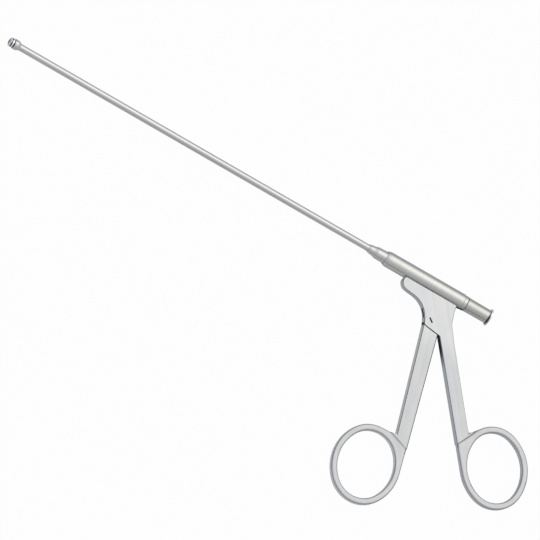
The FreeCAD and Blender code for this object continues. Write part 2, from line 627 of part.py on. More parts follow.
def handle_frame():
    """Flat frame with two cheeks round the lever's tongue, rear shank and rear finger ring."""
    crotch, step = from_rear(REAR_SHANK_CROTCH), from_rear(REAR_SHANK_STEP)
    ring, ring_touch, web_touch = finger_ring(from_rear(REAR_RING_MIDDLE), REAR_RING_LONG,
                                              REAR_RING_SHORT, REAR_RING_TILT, crotch, step, 1)
    lip, toe = along(crotch, ring_touch, FOOT_LIP), along(step, web_touch, FOOT_TOE)
    front_top = from_rear((FRAME_FRONT_TOP_X, SADDLE_Y))
    rear_top = from_rear((FRAME_REAR_TOP_X, SADDLE_Y))
    cheek_start = polar(PIVOT, CHEEK_RADIUS, CHEEK_FRONT_ANGLE)
    cheek_middle = polar(PIVOT, CHEEK_RADIUS, (CHEEK_FRONT_ANGLE + SEAM_ANGLE + 270) / 2)
    foot = seam_point(0, 0)
    inner_top = seam_point(SEAM_LENGTH, 0)
    rear_end = from_rear(FRAME_REAR_END)
    back_way = (crotch[0] - rear_end[0], crotch[1] - rear_end[1])
    front_end = [(PIVOT[0] + x, PIVOT[1] + y) for x, y in FRAME_FRONT_END]
    edges = [curve([front_top] + [from_rear(p) for p in FRAME_FRONT] + front_end + [cheek_start]),
             arc(cheek_start, cheek_middle, foot), line(foot, inner_top), line(inner_top, step),
             line(step, toe), line(toe, lip), line(lip, crotch), line(crotch, rear_end),
             curve([rear_end] + [from_rear(p) for p in reversed(FRAME_REAR)] + [rear_top],
                   (-back_way[0], -back_way[1]), FRAME_REAR_TOP_WAY),
             line(rear_top, front_top)]
    plate = flat(edges, PLATE_THICKNESS)
    plate = plate.makeChamfer(EDGE_BREAK, outline_edges(plate, PLATE_THICKNESS, long_side(crotch)))
    plate = stepped_foot(plate, crotch, step)
    web = crotch_web(crotch, rear_end, ring_touch)
    body = plate.fuse([ring, web])
    body = body.cut(rod_between(BARREL_FRONT, BARREL_REAR, BARREL_RADIUS))
    slot = [(-ARM_SLOT_HALF, -PIVOT_Y), (-ARM_SLOT_HALF, SLOT_FRONT_KNEE), SLOT_MOUTH,
            (SLOT_MOUTH[0], SLOT_HEEL[1]), SLOT_HEEL, (ARM_SLOT_HALF, SLOT_REAR_KNEE),
            (ARM_SLOT_HALF, -PIVOT_Y)]
    slot = [(PIVOT[0] + x, PIVOT[1] + y) for x, y in slot]
    body = body.cut(flat(polygon(slot), SLOT_WIDTH))
    body = body.cut(cross_rod(PIVOT, SCREW_HEAD_RADIUS, 0, HALF_PLATE))
    return body.cut(cross_rod(PIVOT, SCREW_SHANK_RADIUS, -HALF_PLATE, 0)).removeSplitter()


def lever_tongue():
    """Thin tongue between the cheeks: pivot boss, root, arm and the ball at its end."""
    run = (LEVER_CROTCH[0] - LEVER_FRONT_TOP[0], LEVER_CROTCH[1] - LEVER_FRONT_TOP[1])
    shank_way = math.degrees(math.atan2(run[1], run[0]))
    boss_radius = CHEEK_RADIUS - BOSS_MARGIN
    half = TONGUE_THICKNESS / 2
    foot = polar(PIVOT, CHEEK_RADIUS + ROOT_DEPTH, shank_way)
    root = [polar(PIVOT, boss_radius, shank_way - 90), polar(foot, ROOT_FRONT_HALF, shank_way - 90),
            polar(foot, ROOT_REAR_HALF, shank_way + 90), polar(PIVOT, boss_radius, shank_way + 90)]
    root = flat(polygon(root), TONGUE_THICKNESS)
    arm_way = 90 + HALF_TRAVEL
    arm = [polar(PIVOT, ARM_FOOT_HALF, arm_way + 90), polar(PIVOT, ARM_FOOT_HALF, arm_way - 90),
           polar(BALL, ARM_TIP_HALF, arm_way - 90), polar(BALL, ARM_TIP_HALF, arm_way + 90)]
    arm = flat(polygon(arm), TONGUE_THICKNESS)
    boss = cross_rod(PIVOT, boss_radius, -half, half)
    ball = cross_rod(BALL, BALL_RADIUS, -half, half)
    return boss.fuse([root, arm, ball]).removeSplitter()


def lever():
    """Moving lever: front finger ring, tapered shank with its shoulder, and the tongue."""
    crotch, step = from_rear(LEVER_CROTCH), from_rear(LEVER_STEP)
    ring, ring_touch, web_touch = finger_ring(from_rear(FRONT_RING_MIDDLE), FRONT_RING_LONG,
                                              FRONT_RING_SHORT, FRONT_RING_TILT, crotch, step, -1)
    lip, toe = along(crotch, ring_touch, FOOT_LIP), along(step, web_touch, FOOT_TOE)
    front_top, rear_line = from_rear(LEVER_FRONT_TOP), from_rear(LEVER_REAR_TOP)
    radius = CHEEK_RADIUS + SEAM_GAP
    corner = circle_crossing(crotch, front_top, PIVOT, radius)
    corner_angle = math.degrees(math.atan2(corner[1] - PIVOT[1], corner[0] - PIVOT[0])) % 360
    seam_middle = polar(PIVOT, radius, (corner_angle + SEAM_ANGLE + 270) / 2)
    foot = seam_point(0, SEAM_GAP)
    heel = line_crossing(foot, seam_point(1, SEAM_GAP), step, rear_line)
    edges = [arc(corner, seam_middle, foot), line(foot, heel), line(heel, step), line(step, toe),
             line(toe, lip), line(lip, crotch), line(crotch, corner)]
    shank = flat(edges, PLATE_THICKNESS)
    shank = shank.makeChamfer(EDGE_BREAK, outline_edges(shank, PLATE_THICKNESS, long_side(crotch)))
    shank = stepped_foot(shank, crotch, step)
    web = crotch_web(crotch, corner, ring_touch)
    body = shank.fuse([ring, web, lever_tongue()])
    bore = cross_rod(PIVOT, PIVOT_BUSH_RADIUS + RUNNING_FIT, -HALF_PLATE, HALF_PLATE)
    return body.cut(bore).removeSplitter()


def circle_crossing(start, through, centre, radius):
    """Where the line from start through another point first meets a circle round centre."""
    way = along(start, through, 1)
    dx, dy = way[0] - start[0], way[1] - start[1]
    cx, cy = centre[0] - start[0], centre[1] - start[1]
    near = cx * dx + cy * dy
    off = cx * dy - cy * dx
    return along(start, through, near - math.sqrt(radius ** 2 - off ** 2))


def line_crossing(a, b, c, d):
    """Where the line through a and b crosses the line through c and d."""
    ux, uy = b[0] - a[0], b[1] - a[1]
    wx, wy = d[0] - c[0], d[1] - c[1]
    share = ((c[0] - a[0]) * wy - (c[1] - a[1]) * wx) / (ux * wy - uy * wx)
    return (a[0] + ux * share, a[1] + uy * share)


PIECES = [nose_dome, cutting_ring, control_rod, rod_guide_bush, cutting_cup, sheath_tube,
          nose_ferrule, slider, slider_pin, barrel, nose_bush, handle_frame, lever, pivot_screw,
          pivot_bush, rod_anchor, rod_nut, rod_lock_nut, port_gasket, luer_port]

os.makedirs("parts", exist_ok=True)
for piece in PIECES:
    shape = piece()
    name = piece.__name__
    print(name, "valid", shape.isValid(), "solids", len(shape.Solids), "volume", round(shape.Volume, 3))
    shape.exportStep("parts/" + name + ".step")
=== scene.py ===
import math

import bpy
import numpy as np
from mathutils import Matrix, Vector


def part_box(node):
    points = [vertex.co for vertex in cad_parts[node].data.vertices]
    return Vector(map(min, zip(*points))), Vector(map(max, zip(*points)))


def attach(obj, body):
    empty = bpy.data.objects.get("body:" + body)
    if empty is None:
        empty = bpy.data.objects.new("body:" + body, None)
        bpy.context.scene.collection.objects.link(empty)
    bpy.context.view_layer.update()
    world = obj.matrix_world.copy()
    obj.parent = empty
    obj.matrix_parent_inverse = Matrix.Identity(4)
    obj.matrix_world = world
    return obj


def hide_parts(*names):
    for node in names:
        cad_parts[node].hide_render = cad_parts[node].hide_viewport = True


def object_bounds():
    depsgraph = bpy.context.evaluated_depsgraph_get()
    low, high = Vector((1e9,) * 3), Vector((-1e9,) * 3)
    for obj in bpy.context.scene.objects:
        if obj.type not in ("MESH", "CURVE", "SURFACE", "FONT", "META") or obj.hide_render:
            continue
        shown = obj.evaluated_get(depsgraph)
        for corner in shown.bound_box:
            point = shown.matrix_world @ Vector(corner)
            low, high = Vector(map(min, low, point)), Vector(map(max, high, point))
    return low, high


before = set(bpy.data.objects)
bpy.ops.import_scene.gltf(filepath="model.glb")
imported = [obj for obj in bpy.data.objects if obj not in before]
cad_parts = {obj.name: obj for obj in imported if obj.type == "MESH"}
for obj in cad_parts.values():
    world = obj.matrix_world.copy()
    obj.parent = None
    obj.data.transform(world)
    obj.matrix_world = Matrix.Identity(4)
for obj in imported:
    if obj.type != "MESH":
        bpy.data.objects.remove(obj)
cad_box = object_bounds()

# Barrel. The real one is a round tube of stainless steel, turned on a lathe with a rounded nose
# and then finished satin. Its faint tool marks run round the shaft, so they change fast along
# X and slowly round the piece; the light picks them out as a warm, soft streak.


def group_socket(group, name, kind, way, value=None):
    """Adds one named input or output to a shader group."""
    socket = group.interface.new_socket(name=name, in_out=way, socket_type=kind)
    if value is not None:
        socket.default_value = value
    return socket


def add_node(tree, kind, inputs=(), **settings):
    """Adds a node, sets its settings, and sets or links its inputs by name or number."""
    node = tree.nodes.new(kind)
    for name, value in settings.items():
        setattr(node, name, value)
    for key, value in dict(inputs).items():
        if isinstance(value, bpy.types.NodeSocket):
            tree.links.new(value, node.inputs[key])
        else:
            node.inputs[key].default_value = value
    return node


def maths(tree, operation, *values):
    """Result of one sum on numbers or sockets."""
    return add_node(tree, "ShaderNodeMath", dict(enumerate(values)), operation=operation).outputs[0]


def product(tree, result, *factors):
    """Two or more numbers or sockets multiplied."""
    for factor in factors:
        result = maths(tree, "MULTIPLY", result, factor)
    return result


def vector_maths(tree, operation, *values):
    """Result of one sum on vectors, a number where the operation gives one."""
    outputs = add_node(tree, "ShaderNodeVectorMath", dict(enumerate(values)), operation=operation).outputs
    return outputs["Value"] if operation in ("LENGTH", "DOT_PRODUCT") else outputs[0]


def scaled(tree, vector, factor):
    """A vector or a colour, made longer or brighter by a factor."""
    return add_node(tree, "ShaderNodeVectorMath", {0: vector, "Scale": factor},
                    operation="SCALE").outputs[0]


def parts_of(tree, vector):
    """The X, Y and Z of a vector."""
    return add_node(tree, "ShaderNodeSeparateXYZ", {0: vector}).outputs


def step_between(tree, value, start, end, low=0.0, high=1.0):
    """Low up to start, high from end on, and a smooth S between them.

    The start may also lie above the end. A pair that is passed with a star is such a start and end.
    """
    return add_node(tree, "ShaderNodeMapRange",
                    {"Value": value, "From Min": start, "From Max": end, "To Min": low, "To Max": high},
                    interpolation_type="SMOOTHSTEP").outputs[0]


def noise(tree, place, **inputs):
    """Level of a soft noise at a place."""
    named = {name.capitalize(): value for name, value in inputs.items()}
    return add_node(tree, "ShaderNodeTexNoise", {"Vector": place, **named}).outputs[0]


def blend_colour(tree, share, low, high):
    """Colour that goes from low to high as the share goes from 0 to 1."""
    low, high = (end if isinstance(end, bpy.types.NodeSocket) else (*end, 1.0) for end in (low, high))
    return add_node(tree, "ShaderNodeMix", {"Factor": share, 6: low, 7: high}, data_type="RGBA").outputs[2]


def tool_marks_group():
    """Fine marks that a tool left in steel.

    The place is stretched by a scale that is large across the marks and small along them. Tone
    is 0.5 plus the contrast times a fine noise and a broad one, each about its middle. Height
    is the fine noise, and Smudge a soft noise some millimetres wide, as hands leave.
    """
    group = bpy.data.node_groups.new("tool_marks", "ShaderNodeTree")
    group_socket(group, "Place", "NodeSocketVector", "INPUT")
    group_socket(group, "Stretch", "NodeSocketVector", "INPUT", (4000.0, 200.0, 200.0))
    group_socket(group, "Contrast", "NodeSocketFloat", "INPUT", 0.2)
    for name in ("Tone", "Height", "Smudge"):
        group_socket(group, name, "NodeSocketFloat", "OUTPUT")
    given = add_node(group, "NodeGroupInput").outputs
    stretched = vector_maths(group, "MULTIPLY", given["Place"], given["Stretch"])
    fine = noise(group, stretched, scale=1.0, detail=3.0, roughness=0.6)
    broad = noise(group, stretched, scale=0.15, detail=2.0)
    smudge = noise(group, given["Place"], scale=180.0, detail=2.0)
    about = maths(group, "SUBTRACT", maths(group, "ADD", fine, broad), 1.0)
    tone = maths(group, "MULTIPLY_ADD", about, given["Contrast"], 0.5)
    add_node(group, "NodeGroupOutput", {"Tone": tone, "Height": fine, "Smudge": smudge})
    return group


TOOL_MARKS = tool_marks_group()
EDGE_TINT = (0.62, 0.62, 0.62, 1.0)
CLEAN_SHARE = 0.8
SMUDGE_SHARE = 0.4
MARK_DEPTH = 1.5e-6


def new_steel(name):
    """Material with a metal shader whose grazing reflection is held down, as on worn steel."""
    material = bpy.data.materials.new(name)
    material.use_nodes = True
    shader = material.node_tree.nodes["Principled BSDF"]
    shader.inputs["Metallic"].default_value = 1.0
    shader.inputs["Specular Tint"].default_value = EDGE_TINT
    return material, material.node_tree, shader


def object_place(tree):
    """Place on the piece, in the part's frame at rest."""
    return add_node(tree, "ShaderNodeTexCoord").outputs["Object"]


def shaft_place(tree):
    """Place on a round piece: all of it, how far along the shaft, and the distance from its axis."""
    place = object_place(tree)
    radius = vector_maths(tree, "LENGTH", vector_maths(tree, "MULTIPLY", place, (0.0, 1.0, 1.0)))
    return place, parts_of(tree, place)["X"], radius


def height_on(tree, place, radius):
    """How high on a round piece a place is: -1 on the handle's side, 1 on the side away from it."""
    return maths(tree, "DIVIDE", parts_of(tree, place)["Y"], radius)


def marked_finish(tree, shader, place, stretch, colour, roughness, contrast, depth=MARK_DEPTH):
    """Lays tool marks over a colour and a roughness, each a constant or a socket, and adds a bump.

    The tone is about 0.5, so that the colour keeps its level when it is multiplied by the tone
    plus 0.5. Clean places have less than the given roughness, and smudged ones more.
    """
    marks = add_node(tree, "ShaderNodeGroup", {"Place": place, "Stretch": stretch, "Contrast": contrast},
                     node_tree=TOOL_MARKS).outputs
    toned = scaled(tree, colour, maths(tree, "ADD", marks["Tone"], 0.5))
    tree.links.new(toned, shader.inputs["Base Color"])
    dulled = maths(tree, "MULTIPLY_ADD", marks["Smudge"], SMUDGE_SHARE, CLEAN_SHARE)
    tree.links.new(product(tree, dulled, roughness), shader.inputs["Roughness"])
    bump = add_node(tree, "ShaderNodeBump", {"Height": marks["Height"], "Distance": depth})
    tree.links.new(bump.outputs[0], shader.inputs["Normal"])


def dress(name, material):
    """Gives a CAD node its material."""
    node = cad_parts[name]
    node.data.materials.clear()
    node.data.materials.append(material)


TURNED = (5000.0, 120.0, 120.0)
BARREL_SATIN = (0.632, 0.627, 0.6)
# Black painted shadow on the barrel's underside behind the handle: its colour, height and start.
UNDER_BARREL_SHADOW = (0.04, 0.038, 0.035)
UNDER_BARREL_SHADOW_HEIGHT = (-0.88, -0.97)
UNDER_BARREL_SHADOW_START = (-0.0166, -0.0160)


def barrel_steel():
    """Satin steel, with a black painted shadow underneath, between the handle and the barrel's rear end.
    """
    material, tree, shader = new_steel("barrel_satin_and_shadow")
    place, along, radius = shaft_place(tree)
    underneath = step_between(tree, height_on(tree, place, radius), *UNDER_BARREL_SHADOW_HEIGHT)
    under_shadow = product(tree, underneath, step_between(tree, along, *UNDER_BARREL_SHADOW_START))
    colour = blend_colour(tree, under_shadow, BARREL_SATIN, UNDER_BARREL_SHADOW)
    marked_finish(tree, shader, place, TURNED, colour, roughness=0.24, contrast=0.15)
    return material


dress("barrel", barrel_steel())

# Nose bush. The real one is a thin bearing sleeve of bronze, pressed into the barrel behind its
# lip; the ferrule runs in it, and it hardly shows.
BRONZE = (0.55, 0.4, 0.22)


def plain_metal(name, colour, roughness, stretch, contrast=0.15):
    """Metal of one colour and one finish all over."""
    material, tree, shader = new_steel(name)
    marked_finish(tree, shader, object_place(tree), stretch, colour, roughness, contrast)
    return material


bearing_bronze = plain_metal("bearing_bronze", BRONZE, 0.35, TURNED)
dress("nose_bush", bearing_bronze)

# Nose ferrule. The real one is turned from steel bar in two stages, with a small tapered tip that
# the tube is soldered into; it slides in and out of the barrel with the tube.
FERRULE_SATIN = (0.64, 0.64, 0.625)
dress("nose_ferrule", plain_metal("ferrule_satin", FERRULE_SATIN, 0.22, TURNED))

# Sheath tube. The real one is drawn stainless tube, polished lengthwise by hand, so that its
# marks run along X.
DRAWN = (60.0, 3000.0, 3000.0)
TUBE_POLISH = (0.655, 0.652, 0.645)
dress("sheath_tube", plain_metal("tube_polish", TUBE_POLISH, 0.26, DRAWN))

# Cutting cup. The real one is turned from hard steel, soldered over the tube's front and blasted
# matte, with a sharp ground mouth. The mouth's edge has a painted shade on the low side.
BLASTED = (2500.0, 2500.0, 2500.0)
CUP_GREY = (0.69, 0.69, 0.69)
# Painted shade on the mouth's edge, on the low side.
CUP_MOUTH_SHADE = (0.06, 0.06, 0.062)
SHADED_EDGE = (0.00035, 0.0001)
CUP_LOW_SIDE = ((0.1, -0.25), (-0.95, -0.8))


def band(tree, value, rise, fall):
    """1 between two smooth steps and 0 outside them; each step is given as its 0 and its 1 end."""
    return product(tree, step_between(tree, value, *rise), step_between(tree, value, *fall))


def cup_steel():
    """Blasted matte steel, with painted shade on the low side of the mouth's edge."""
    material, tree, shader = new_steel("cup_matte_and_shade")
    place, along, radius = shaft_place(tree)
    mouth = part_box("cutting_cup")[0][0]
    edge = step_between(tree, along, *(mouth + behind for behind in SHADED_EDGE))
    mouth_shade = product(tree, edge, band(tree, height_on(tree, place, radius), *CUP_LOW_SIDE))
    colour = blend_colour(tree, mouth_shade, CUP_GREY, CUP_MOUTH_SHADE)
    marked_finish(tree, shader, place, BLASTED, colour, roughness=0.45, contrast=0.3)
    return material


dress("cutting_cup", cup_steel())

# Rod guide. The real one is a small bronze bush in the tube's front, with grooves that let the
# rinsing water pass.
dress("rod_guide_bush", bearing_bronze)

# Control rod. The real one is a thin drawn rod of hard steel, from the head to the rear nuts.
# It stays still while the tube runs over it.
ROD_GREY = (0.56, 0.56, 0.56)
dress("control_rod", plain_metal("rod_polish", ROD_GREY, 0.22, DRAWN))

# Head. The real dome and cutting ring are turned from hard steel and polished bright; a fine dark
# groove lies between them, and the ring's hollow rear face does the cutting. Here the groove and
# the ring's edges carry painted shade, and the dome's front a painted dark reflection.
HEAD_BRIGHT = (0.9, 0.92, 0.95)
# Painted dark reflection on the dome's front; painted shade, grey and black on the low side.
HEAD_FRONT_DARK_REFLECTION = (0.2, 0.2, 0.205)
HEAD_SHADE_GREY = (0.06, 0.06, 0.065)
HEAD_LOW_SHADE_BLACK = (0.02, 0.02, 0.022)
HEAD_CHAMFER = 0.00012
GROOVE_WIDTH = 0.00022
GROOVE_DEPTH = 0.00035
SKIN_DEPTH = (0.00018, 0.00006)
DOME_END = (0.00004, 0.00014)
RING_HALF_BAND = (0.0004, 0.00028)
HEAD_LOW_SIDE = ((0.15, -0.2), (-0.95, -0.75))
FRONT_SHARE = (0.5, 0.85)
PROFILE_POINTS = 24
ROUND_POINTS = 64
CRISP_ANGLE = math.radians(35.0)
dome_low, dome_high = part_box("nose_dome")
ring_low, ring_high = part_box("cutting_ring")
HEAD_RADIUS = dome_high[1]
GROOVE_FRONT = dome_high[0] - GROOVE_WIDTH
RING_MIDDLE = (ring_low[0] + ring_high[0]) / 2


def head_steel():
    """Bright polished steel, with a painted dark reflection on the dome's front, and grey painted
    shade in the groove and on the ring's edges.

    The painted shade turns black on the low side. The dome is polished up to just in front of the
    groove, and the ring on its outside, in a band round its middle.
    """
    material, tree, shader = new_steel("head_polish_and_shade")
    place, along, radius = shaft_place(tree)
    outside = step_between(tree, radius, *(HEAD_RADIUS - depth for depth in SKIN_DEPTH))
    on_dome = step_between(tree, along, *(GROOVE_FRONT - gap for gap in DOME_END))
    off_ring = maths(tree, "ABSOLUTE", maths(tree, "SUBTRACT", along, RING_MIDDLE))
    on_ring = product(tree, outside, step_between(tree, off_ring, *RING_HALF_BAND))
    low_side = band(tree, height_on(tree, place, HEAD_RADIUS), *HEAD_LOW_SIDE)
    painted_shade = blend_colour(tree, low_side, HEAD_SHADE_GREY, HEAD_LOW_SHADE_BLACK)
    off_front = step_between(tree, radius, *(share * HEAD_RADIUS for share in FRONT_SHARE))
    bright_and_front_reflection = blend_colour(tree, off_front, HEAD_FRONT_DARK_REFLECTION, HEAD_BRIGHT)
    colour = blend_colour(tree, maths(tree, "MAXIMUM", on_dome, on_ring), painted_shade, bright_and_front_reflection)
    marked_finish(tree, shader, place, TURNED, colour, roughness=0.12, contrast=0.06, depth=0.3e-6)
    return material


def turned_dome(apex, rear):
    """Surface of revolution round X, as rings of points that close at both poles.

    The profile is a quarter of an ellipse: at a turn from the apex, the distance behind it is the
    length times one less the cosine, and the radius is the full radius times the sine. Then it
    goes over a chamfer, down the rear face and back along the neck to the ring's front.
    """
    length = rear - GROOVE_WIDTH - HEAD_CHAMFER - apex
    neck = HEAD_RADIUS - GROOVE_DEPTH
    turns = np.linspace(0.0, math.pi / 2, PROFILE_POINTS)
    groove_front = rear - GROOVE_WIDTH
    x = np.concatenate([apex + length * (1 - np.cos(turns)), [groove_front, groove_front, rear, rear]])
    radius = np.concatenate([HEAD_RADIUS * np.sin(turns), [HEAD_RADIUS - HEAD_CHAMFER, neck, neck, 0.0]])
    angles = np.linspace(0.0, 2 * math.pi, ROUND_POINTS, endpoint=False)
    grid = np.stack([np.repeat(x[1:-1, None], angles.size, 1), radius[1:-1, None] * np.cos(angles),
                     radius[1:-1, None] * np.sin(angles)], axis=2).reshape(-1, 3)
    points = np.concatenate([[[x[0], 0.0, 0.0]], grid, [[x[-1], 0.0, 0.0]]])
    here = np.arange(angles.size)
    beside = np.roll(here, -1)
    rows = 1 + angles.size * np.arange(len(x) - 3)[:, None]
    next_rows = rows + angles.size
    walls = np.stack([rows + here, rows + beside, next_rows + beside, next_rows + here], axis=2)
    front = np.stack([np.zeros_like(here), 1 + beside, 1 + here], axis=1)
    last = 1 + angles.size * (len(x) - 3)
    back = np.stack([np.full_like(here, len(points) - 1), last + here, last + beside], axis=1)
    return points.tolist(), walls.reshape(-1, 4).tolist() + front.tolist() + back.tolist()


def new_object(name, points, faces, material):
    """A new object in the scene, from points and faces, in one material."""
    mesh = bpy.data.meshes.new(name)
    mesh.from_pydata(points, [], faces)
    mesh.materials.append(material)
    made = bpy.data.objects.new(name, mesh)
    bpy.context.scene.collection.objects.link(made)
    return made


head_polish_and_shade = head_steel()
dome = new_object("polished_dome", *turned_dome(dome_low[0], dome_high[0]), head_polish_and_shade)
dome.data.shade_smooth()
dome.modifiers.new("crisp_edges", "EDGE_SPLIT").split_angle = CRISP_ANGLE
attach(dome, "handle")
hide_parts("nose_dome")
dress("cutting_ring", head_polish_and_shade)

# Slider and its pin. The real slider is a round steel block inside the barrel; a groove across it
# takes the lever's ball, and a cross pin fixes the ferrule in it.
INNER_GREY = (0.54, 0.54, 0.54)
inner_steel = plain_metal("inner_steel", INNER_GREY, 0.3, TURNED)
for holder in ("slider", "slider_pin"):
    dress(holder, inner_steel)

# Rod anchor and nuts. The real disc is clamped in the barrel's rear, with holes for the rinsing
# water round the rod; two thin nuts hold the rod in it.
for holder in ("rod_anchor", "rod_nut", "rod_lock_nut"):
    dress(holder, inner_steel)

# Luer port. The real one is a turned steel sleeve with a thin lock rim at its mouth and a relief
# groove in front of the rim; its spigot is pushed into the barrel's rear.
PORT_SATIN = (0.585, 0.578, 0.548)
# Painted highlight on the rim's high side, and a black painted shadow in the relief groove's low side.
RIM_HIGHLIGHT = (0.95, 0.95, 0.93)
RELIEF_SHADOW_BLACK = (0.08, 0.078, 0.07)
RELIEF_REACH = (0.0031, 0.0029)
RELIEF_ENDS = ((-0.00125, -0.00115), (-0.00055, -0.00065))
RIM_FRONT = (-0.0007, -0.0006)
PORT_HIGH_SIDE = (-0.001, 0.002)


def port_steel():
    """Fine turned finish, with a black painted shadow at the relief groove's bottom on the low side,
    and a painted highlight on the rim above.
    """
    material, tree, shader = new_steel("port_satin_and_light")
    place, along, radius = shaft_place(tree)
    high_side = step_between(tree, parts_of(tree, place)["Y"], *PORT_HIGH_SIDE)
    low_side = maths(tree, "SUBTRACT", 1.0, high_side)
    bottom = step_between(tree, radius, *RELIEF_REACH)
    relief = product(tree, band(tree, along, *RELIEF_ENDS), bottom, low_side)
    rim = product(tree, step_between(tree, along, *RIM_FRONT), high_side)
    satin = blend_colour(tree, rim, PORT_SATIN, RIM_HIGHLIGHT)
    colour = blend_colour(tree, relief, satin, RELIEF_SHADOW_BLACK)
    marked_finish(tree, shader, place, TURNED, colour, roughness=0.23, contrast=0.15)
    return material


dress("luer_port", port_steel())

# Port gasket. The real one is a flat dark ring of silicone rubber between the barrel and the
# port's shoulder, which shows only as a thin line.
RUBBER_BLACK = (0.03, 0.03, 0.03)
RUBBER_DUST = (0.09, 0.09, 0.09)
RUBBER_ROUGHNESS = 0.6
gasket_rubber = bpy.data.materials.new("gasket_rubber")
gasket_rubber.use_nodes = True
rubber_tree = gasket_rubber.node_tree
rubber = rubber_tree.nodes["Principled BSDF"]
rubber.inputs["Roughness"].default_value = RUBBER_ROUGHNESS
dust = noise(rubber_tree, object_place(rubber_tree), scale=2000.0)
dusty = blend_colour(rubber_tree, dust, RUBBER_BLACK, RUBBER_DUST)
rubber_tree.links.new(dusty, rubber.inputs["Base Color"])
dress("port_gasket", gasket_rubber)

# Handle frame. The real one is cut from flat stainless plate in one piece with its shank and its
# forged finger ring, and soldered to the barrel. Its faces are brushed lengthwise, its walls are
# only ground, its edges are polished, and the ring is polished round. The shank's edges carry a
# painted reflection, darker or lighter by which way they face.
FACE_COOL = (0.532, 0.542, 0.568)
FACE_WARM = (0.56, 0.56, 0.563)
RING_EDGE = (0.5, 0.505, 0.515)
FOOT_SHADE = (0.27, 0.27, 0.27)
# Black of the seam's gap, also used as black painted shade by the apex, along the lever's rear edge and in
# the screw slot.
SEAM_AND_SHADE_BLACK = (0.025, 0.025, 0.027)
FACE_UPRIGHT = (0.9, 0.985)
WALL_UPRIGHT = (0.45, 0.2)
REAR_FACING = (-0.1, 0.2)
INNER_FACING = (0.3, 0.7)
EDGE_ROUGHNESS = 0.18
FLATS_ROUGHER = 0.12
SHANK_TONE = 0.9
SHANK_START = (-0.018, -0.03)
BRUSHED = (120.0, 5000.0, 800.0)
RING_POLISHED = (300.0, 300.0, 4000.0)
STREAKED = (25.0, 500.0, 100.0)
STREAK_LEVELS = (0.35, 0.65)
RING_BORDER = 0.0004
MARKS_CIRCLE = 0.016
FOOT_BAND = ((0.0008, 0.0011), (0.0021, 0.0012))
FOOT_FADE = (0.008, 0.002)
FOOT_FAINT = 0.35
PIVOT = (-0.02375, -0.01507)
SEAM_TURN = math.radians(7.5)
SEAM_RADIUS = 0.0035
SEAM_TOP = (-0.0023, -0.0019)
SEAM_END = (0.0073, 0.0076)
SEAM_ON_FACE = (0.0003, 0.0002)
SEAM_ON_WALL = (0.0006, 0.0003)
BORDER_LINE = (0.00045, 0.0003)
APEX = (-0.0176, -0.0194)
UNDER_SEAM = (APEX[1] + 0.0015, APEX[1] + 0.0005)
NEAR_APEX = (0.016, 0.006)


def blend_vector(tree, share, low, high):
    """Vector that goes from low to high as the share goes from 0 to 1."""
    return add_node(tree, "ShaderNodeMix", {"Factor": share, 4: low, 5: high},
                    data_type="VECTOR").outputs[1]


def rotated(tree, place, angle, centre=(0.0, 0.0)):
    """A place turned about the upright axis through a centre."""
    inputs = {"Vector": place, "Center": (*centre, 0.0), "Angle": angle}
    return add_node(tree, "ShaderNodeVectorRotate", inputs, rotation_type="Z_AXIS").outputs[0]


def offset_from(tree, place, point):
    """A place as seen from a point in the handle's plane."""
    return vector_maths(tree, "SUBTRACT", place, (*point, 0.0))


def distance_from(tree, place, point):
    """How far a place is from a point in the handle's plane."""
    return vector_maths(tree, "LENGTH", offset_from(tree, place, point))


def seam_distance(tree, flat_place):
    """How far a place is from the seam's middle line: an arc below the pivot, then a straight line.

    The place is turned about the pivot until the straight part lies along X. The distance from
    the pivot counts only downwards and towards the tip, which makes the line straight behind
    the pivot. Above the arc's upper end and past the straight part's end a metre is added.
    """
    offset = offset_from(tree, rotated(tree, flat_place, SEAM_TURN, PIVOT), PIVOT)
    reach = vector_maths(tree, "LENGTH", vector_maths(tree, "MINIMUM", offset, (0.0, 0.0, 0.0)))
    spot = parts_of(tree, offset)
    past_end = maths(tree, "MAXIMUM", step_between(tree, spot["X"], *SEAM_END),
                     step_between(tree, spot["Y"], *SEAM_TOP))
    off_line = maths(tree, "ABSOLUTE", maths(tree, "SUBTRACT", reach, SEAM_RADIUS))
    return maths(tree, "ADD", off_line, past_end)


def beside_line(tree, place, start, end):
    """Signed distance from the line through two points: positive on the right of its way."""
    run = Vector(end) - Vector(start)
    across = Vector((run.y, -run.x)).normalized()
    along_across = vector_maths(tree, "DOT_PRODUCT", place, (*across, 0.0))
    return maths(tree, "SUBTRACT", along_across, across.dot(Vector(start)))


def foot_shade(tree, place, start, end, crotch):
    """How strongly painted shade darkens the face in a band by a foot's step, as a hollow shoulder would.

    The foot's line runs along the step. The painted shade is strongest by the crotch and faint far off.
    """
    below = beside_line(tree, place, start, end)
    near_crotch = step_between(tree, distance_from(tree, place, crotch), *FOOT_FADE, FOOT_FAINT, 1.0)
    return product(tree, band(tree, below, *FOOT_BAND), near_crotch)


